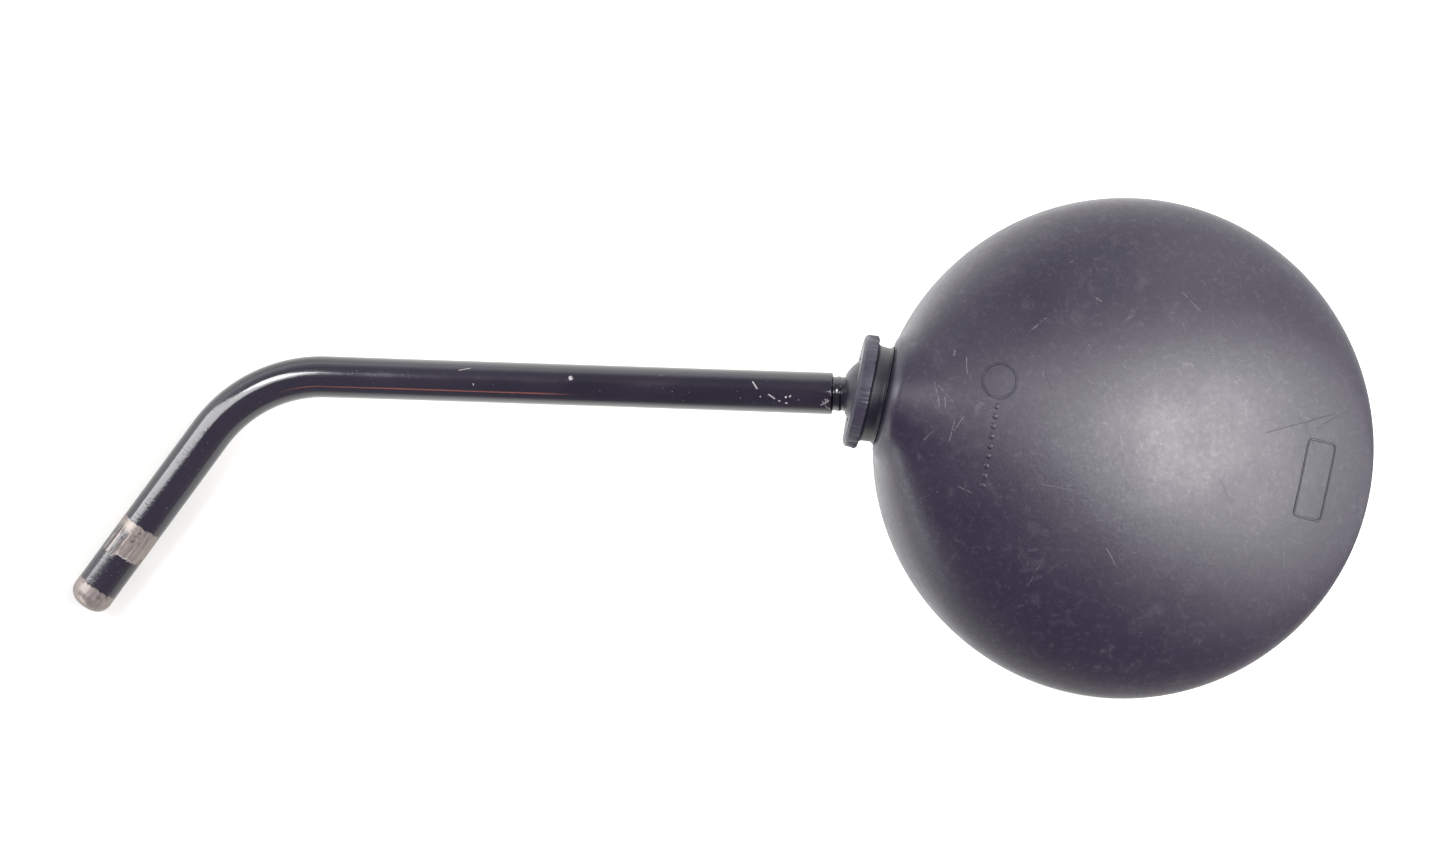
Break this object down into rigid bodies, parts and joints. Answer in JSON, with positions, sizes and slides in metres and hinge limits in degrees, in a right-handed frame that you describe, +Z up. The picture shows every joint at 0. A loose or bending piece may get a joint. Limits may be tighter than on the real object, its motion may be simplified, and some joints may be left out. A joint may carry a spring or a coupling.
{
  "type": "rear-view mirror",
  "caption": "Round convex rear-view mirror in a hood-shaped black shell, on a bent steel rod stem with a ball joint at the neck.",
  "frame": {"origin": "centre of the flat end of the stem, the end that a bracket clamps", "axes": "+X along the straight part of the stem, seen from above, towards the mirror head; +Z up, out of the back of the head, square to the rim that the mirror lies on; +Y completes a right-handed frame and the bent end of the stem runs towards -Y"},
  "size_m": [0.3202, 0.1238, 0.034],
  "materials": {
    "stem_paint": "glossy black stove enamel, worn to bare steel at the clamped end",
    "ball_steel": "bright turned steel, greased",
    "cap_rubber": "satin black",
    "liner_nylon": "natural nylon",
    "shell_plastic": "satin black moulding with a fine grain, scuffed",
    "mirror_glass": "silvered, convex",
    "pad_foam": null,
    "zinc_steel": "bright zinc plate",
    "grommet_rubber": "matt black, slightly ragged moulding flash",
    "socket_nylon": "glass-filled nylon, black"
  },
  "bodies": {
    "stem": {"stem_rod": "stem_paint", "stem_ball": "ball_steel"},
    "cap": {"dust_cap": "cap_rubber"},
    "liner": {"ball_liner": "liner_nylon"},
    "head": {"shell": "shell_plastic", "mirror_glass": "mirror_glass", "glass_pad": "pad_foam", "support_plate": "zinc_steel", "neck_grommet": "grommet_rubber", "socket_upper": "socket_nylon", "socket_lower": "socket_nylon", "plate_screw_left": "zinc_steel", "plate_screw_right": "zinc_steel", "shell_screw_right": "zinc_steel", "shell_screw_upper": "zinc_steel", "shell_screw_lower": "zinc_steel", "clamp_screw_left": "zinc_steel", "clamp_screw_right": "zinc_steel", "spring_washer_left": "zinc_steel", "spring_washer_right": "zinc_steel", "clamp_nut_left": "zinc_steel", "clamp_nut_right": "zinc_steel"}
  },
  "joints": [
    {"name": "stem_spin", "type": "hinge", "parent": "stem", "child": "cap", "pos_m": [0.19412, 0.05837, 0.01247], "axis": [0.9979, 0, 0.0641], "continuous": true},
    {"name": "head_nod", "type": "hinge", "parent": "cap", "child": "liner", "pos_m": [0.19412, 0.05837, 0.01247], "axis": [0, 1, 0], "range_deg": [-11.5, 4]},
    {"name": "head_swing", "type": "hinge", "parent": "liner", "child": "head", "pos_m": [0.19412, 0.05837, 0.01247], "axis": [0, 0, 1], "range_deg": [-1.5, 22.5]}
  ]
}
